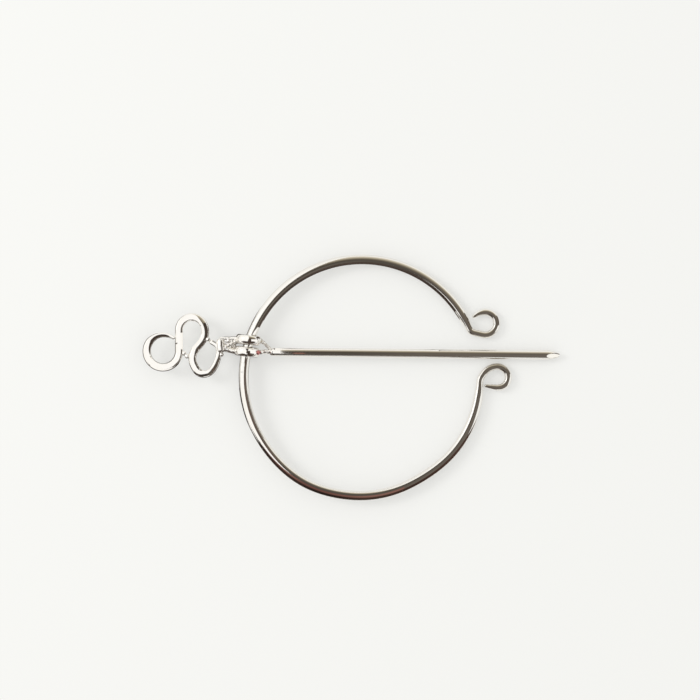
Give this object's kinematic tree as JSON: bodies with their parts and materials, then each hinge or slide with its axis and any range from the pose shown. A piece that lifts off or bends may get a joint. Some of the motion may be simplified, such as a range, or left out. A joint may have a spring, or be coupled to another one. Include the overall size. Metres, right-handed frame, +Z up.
{
  "type": "kilt pin",
  "caption": "Penannular kilt pin: an open wire hoop with curled ends, and a scroll-headed pin that swings on it by soldered rings.",
  "frame": {"origin": "on the surface the pin lies on, under the centre of its bounding box", "axes": "+X towards the pin's point along its length, +Y across it towards the hoop's upper curl side, +Z up from the surface it lies on"},
  "size_m": [0.0853, 0.0504, 0.0053],
  "materials": {
    "hoop_silver_plate": "polished silver plate on brass wire",
    "pin_silver_plate": "polished silver plate on brass wire"
  },
  "bodies": {
    "hoop": {"hoop": "hoop_silver_plate"},
    "pin": {"pin": "pin_silver_plate"}
  },
  "joints": [
    {"name": "swing", "type": "hinge", "parent": "hoop", "child": "pin", "pos_m": [-0.02112, 0.00651, 0.00266], "axis": [-0.1097, -0.994, 0.0027], "continuous": true}
  ]
}
